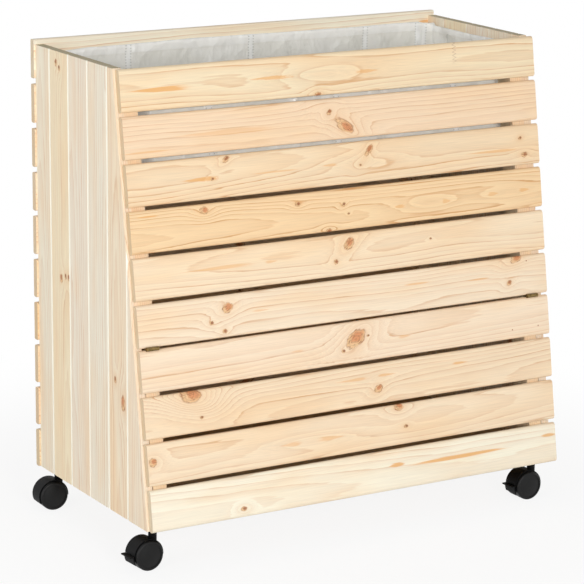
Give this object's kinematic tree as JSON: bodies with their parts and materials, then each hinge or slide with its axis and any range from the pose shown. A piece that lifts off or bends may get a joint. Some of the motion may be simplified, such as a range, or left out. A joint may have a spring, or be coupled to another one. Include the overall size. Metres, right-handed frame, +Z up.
{
  "type": "raised garden bed",
  "caption": "Slatted pine planter on swivel casters: lined planting tray at the top, sloping front with a hinged storage flap, braked front casters.",
  "frame": {"origin": "on the floor, under the middle of the object's outside box", "axes": "+X along the slats to the right seen from the front, +Y to the rear, +Z up"},
  "size_m": [0.8228, 0.4162, 0.8055],
  "materials": {
    "pine_slat": "planed, unfinished",
    "pine_panel": "planed, unfinished",
    "pine_batten": "planed, unfinished",
    "board_sheet": "sanded board",
    "liner_film": "translucent film",
    "hinge_brass": "satin",
    "screw_steel": "zinc",
    "stem_steel": "zinc",
    "wheel_plastic": "satin black",
    "caster_plastic": "satin black"
  },
  "bodies": {
    "planter": {"front_slat_1": "pine_slat", "front_slat_2": "pine_slat", "front_slat_3": "pine_slat", "front_slat_4": "pine_slat", "front_slat_5": "pine_slat", "front_slat_6": "pine_slat", "rear_slat_1": "pine_slat", "rear_slat_2": "pine_slat", "rear_slat_3": "pine_slat", "rear_slat_4": "pine_slat", "rear_slat_5": "pine_slat", "rear_slat_6": "pine_slat", "rear_slat_7": "pine_slat", "rear_slat_8": "pine_slat", "rear_slat_9": "pine_slat", "rear_slat_10": "pine_slat", "left_board_1": "pine_panel", "right_board_1": "pine_panel", "left_board_2": "pine_panel", "right_board_2": "pine_panel", "left_board_3": "pine_panel", "right_board_3": "pine_panel", "left_board_4": "pine_panel", "right_board_4": "pine_panel", "left_slope_board_1": "pine_panel", "right_slope_board_1": "pine_panel", "left_slope_board_2": "pine_panel", "right_slope_board_2": "pine_panel", "front_batten_right": "pine_batten", "front_batten_left": "pine_batten", "rear_batten_right": "pine_batten", "rear_batten_left": "pine_batten", "tray_cleat_right": "pine_batten", "tray_cleat_left": "pine_batten", "tray_floor": "board_sheet", "base_board": "board_sheet", "liner": "liner_film", "hinge_fixed_leaves": "hinge_brass", "hinge_pins": "hinge_brass", "hinge_fixed_screws": "screw_steel", "caster_stems": "stem_steel"},
    "flap": {"flap_slat_1": "pine_slat", "flap_slat_2": "pine_slat", "flap_slat_3": "pine_slat", "flap_slat_4": "pine_slat", "flap_batten_right": "pine_batten", "flap_batten_left": "pine_batten", "hinge_flap_leaves": "hinge_brass", "hinge_flap_screws": "screw_steel"},
    "swivel_front_left": {"caster_front_left_hood": "caster_plastic"},
    "wheels_front_left": {"caster_front_left_wheels": "wheel_plastic"},
    "brake_front_left": {"caster_front_left_brake": "caster_plastic"},
    "swivel_front_right": {"caster_front_right_hood": "caster_plastic"},
    "wheels_front_right": {"caster_front_right_wheels": "wheel_plastic"},
    "brake_front_right": {"caster_front_right_brake": "caster_plastic"},
    "swivel_rear_left": {"caster_rear_left_hood": "caster_plastic"},
    "wheels_rear_left": {"caster_rear_left_wheels": "wheel_plastic"},
    "swivel_rear_right": {"caster_rear_right_hood": "caster_plastic"},
    "wheels_rear_right": {"caster_rear_right_wheels": "wheel_plastic"}
  },
  "joints": [
    {"name": "flap_hinge", "type": "hinge", "parent": "planter", "child": "flap", "pos_m": [0.01193, -0.16423, 0.35941], "axis": [-1, 0, 0], "range_deg": [0, 105]},
    {"name": "swivel_front_left_turn", "type": "hinge", "parent": "planter", "child": "swivel_front_left", "pos_m": [-0.36007, -0.17057, 0.0673], "axis": [0, 0, 1], "continuous": true},
    {"name": "wheels_front_left_spin", "type": "hinge", "parent": "swivel_front_left", "child": "wheels_front_left", "pos_m": [-0.37554, -0.17165, 0.025], "axis": [-0.0698, 0.9976, 0], "continuous": true},
    {"name": "brake_front_left_tip", "type": "hinge", "parent": "swivel_front_left", "child": "brake_front_left", "pos_m": [-0.3895, -0.17262, 0.02], "axis": [0.0698, -0.9976, 0], "range_deg": [0, 12]},
    {"name": "swivel_front_right_turn", "type": "hinge", "parent": "planter", "child": "swivel_front_right", "pos_m": [0.38393, -0.17057, 0.0673], "axis": [0, 0, 1], "continuous": true},
    {"name": "wheels_front_right_spin", "type": "hinge", "parent": "swivel_front_right", "child": "wheels_front_right", "pos_m": [0.36843, -0.17084, 0.025], "axis": [-0.0175, 0.9998, 0], "continuous": true},
    {"name": "brake_front_right_tip", "type": "hinge", "parent": "swivel_front_right", "child": "brake_front_right", "pos_m": [0.35443, -0.17108, 0.02], "axis": [0.0175, -0.9998, 0], "range_deg": [0, 12]},
    {"name": "swivel_rear_left_turn", "type": "hinge", "parent": "planter", "child": "swivel_rear_left", "pos_m": [-0.36007, 0.1761, 0.0673], "axis": [0, 0, 1], "continuous": true},
    {"name": "wheels_rear_left_spin", "type": "hinge", "parent": "swivel_rear_left", "child": "wheels_rear_left", "pos_m": [-0.37556, 0.17664, 0.025], "axis": [0.0349, 0.9994, 0], "continuous": true},
    {"name": "swivel_rear_right_turn", "type": "hinge", "parent": "planter", "child": "swivel_rear_right", "pos_m": [0.38393, 0.1761, 0.0673], "axis": [0, 0, 1], "continuous": true},
    {"name": "wheels_rear_right_spin", "type": "hinge", "parent": "swivel_rear_right", "child": "wheels_rear_right", "pos_m": [0.36849, 0.17745, 0.025], "axis": [0.0872, 0.9962, 0], "continuous": true}
  ]
}
